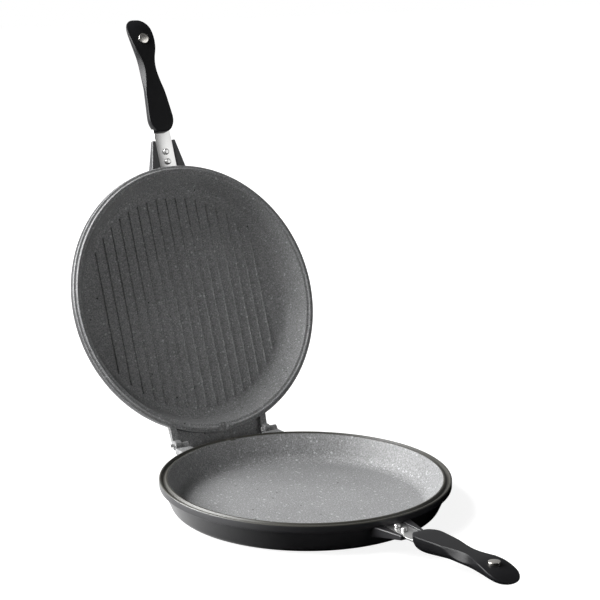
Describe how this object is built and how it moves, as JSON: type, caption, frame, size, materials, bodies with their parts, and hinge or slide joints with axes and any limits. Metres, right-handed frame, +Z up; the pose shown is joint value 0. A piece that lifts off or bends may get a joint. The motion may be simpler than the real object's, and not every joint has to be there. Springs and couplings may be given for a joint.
{
  "type": "double sided flip pan",
  "caption": "Double sided flip pan: a smooth round pan and a ridged grill pan hinged rim to rim, each with its own grip, a latch magnet in each grip and a groove and tongue seal.",
  "frame": {"origin": "middle of the base pan's foot, on the surface the pan stands on", "axes": "+Z up out of the base pan, +Y from the base handle towards the hinge, +X along the hinge axis"},
  "size_m": [0.298, 0.6735, 0.4697],
  "materials": {
    "stone_coating": "cast aluminium with a dark grey speckled non-stick coating, satin",
    "satin_steel": "satin stainless steel",
    "black_bakelite": "black phenolic moulding, satin",
    "nickel": "nickel-plated magnet"
  },
  "bodies": {
    "base": {"base_pan": "stone_coating", "base_strip": "satin_steel", "base_inner_rivet": "satin_steel", "base_outer_rivet": "satin_steel", "base_grip": "black_bakelite", "base_magnet": "nickel", "base_grip_screw": "satin_steel", "base_long_hinge_pin": "satin_steel", "base_short_hinge_pin": "satin_steel"},
    "lid": {"lid_pan": "stone_coating", "lid_strip": "satin_steel", "lid_inner_rivet": "satin_steel", "lid_outer_rivet": "satin_steel", "lid_grip": "black_bakelite", "lid_magnet": "nickel", "lid_grip_screw": "satin_steel"}
  },
  "joints": [
    {"name": "lid_hinge", "type": "hinge", "parent": "base", "child": "lid", "pos_m": [0, 0.155, 0.0327], "axis": [1, 0, 0], "range_deg": [0, 111.6]}
  ]
}
